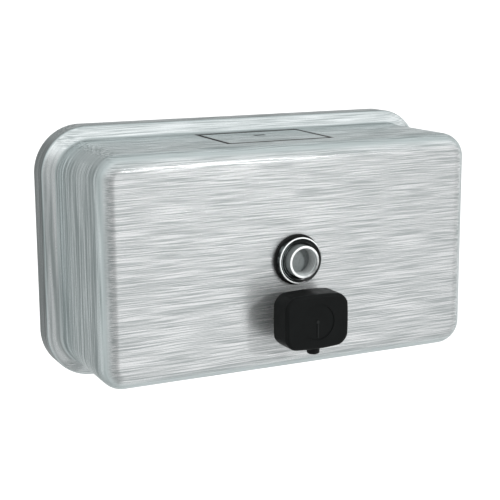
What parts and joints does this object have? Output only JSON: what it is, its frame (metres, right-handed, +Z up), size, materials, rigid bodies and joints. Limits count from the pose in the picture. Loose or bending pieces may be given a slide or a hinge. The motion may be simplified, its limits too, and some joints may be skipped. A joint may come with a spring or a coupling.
{
  "type": "wall mounted soap dispenser",
  "caption": "Surface mounted liquid soap dispenser: drawn steel tank on a wall plate, hinged filler lid, sight window and push button pump valve.",
  "frame": {"origin": "centre of the wall face, on the back of the wall plate", "axes": "+Z up, +Y into the wall, -Y out of the front, +X to the right of a person facing the dispenser"},
  "size_m": [0.206, 0.0897, 0.1206],
  "materials": {
    "brushed_steel": "satin, long horizontal grain",
    "galvanised": "dull zinc",
    "bright_steel": "bright, turned",
    "black_plastic": "fine matte texture",
    "gloss_black": "gloss",
    "clear_plastic": "clear, slightly smoked",
    "natural_plastic": "natural acetal",
    "rubber": "matte"
  },
  "bodies": {
    "dispenser": {"wall_plate": "galvanised", "lock_nut": "galvanised", "lock_screw": "bright_steel", "hanger_left": "galvanised", "hanger_right": "galvanised", "tank_shell": "brushed_steel", "back_plate": "brushed_steel", "filler_frame": "brushed_steel", "lid_hinge_pin": "bright_steel", "window_gasket": "rubber", "window_bezel": "gloss_black", "window_lens": "clear_plastic", "window_washer": "bright_steel", "window_nut": "gloss_black", "valve_gasket": "rubber", "valve_cylinder": "natural_plastic", "valve_washer": "bright_steel", "valve_nut": "gloss_black", "gland_cap": "black_plastic", "stem_seal": "rubber", "inlet_fitting": "natural_plastic", "pickup_tube": "natural_plastic"},
    "button": {"push_button": "black_plastic", "plunger_stem": "bright_steel", "spout": "black_plastic", "piston": "natural_plastic", "piston_seal": "rubber", "return_spring": "bright_steel"},
    "outlet_check": {"outlet_ball": "bright_steel"},
    "inlet_check": {"inlet_ball": "bright_steel"},
    "lid": {"filler_lid": "brushed_steel", "latch_clamp": "bright_steel", "latch_screw_left": "bright_steel", "latch_screw_right": "bright_steel"},
    "latch": {"latch_leaf": "bright_steel"}
  },
  "joints": [
    {"name": "button_push", "type": "slide", "parent": "dispenser", "child": "button", "axis": [0, 1, 0], "range_m": [0, 0.007], "stiffness_N_per_m": 300, "springref_m": -0.012, "deforming": ["return_spring"]},
    {"name": "outlet_ball_lift", "type": "slide", "parent": "button", "child": "outlet_check", "axis": [0, -1, 0], "range_m": [0, 0.001]},
    {"name": "inlet_ball_lift", "type": "slide", "parent": "dispenser", "child": "inlet_check", "axis": [0, 0, 1], "range_m": [0, 0.0015]},
    {"name": "lid_open", "type": "hinge", "parent": "dispenser", "child": "lid", "pos_m": [0, -0.01987, 0.05165], "axis": [-1, 0, 0], "range_deg": [0, 105]},
    {"name": "latch_release", "type": "hinge", "parent": "lid", "child": "latch", "pos_m": [0, -0.02815, 0.05027], "axis": [1, 0, 0], "range_deg": [0, 12], "stiffness_Nm_per_rad": 0.05, "springref_deg": -5.73}
  ]
}
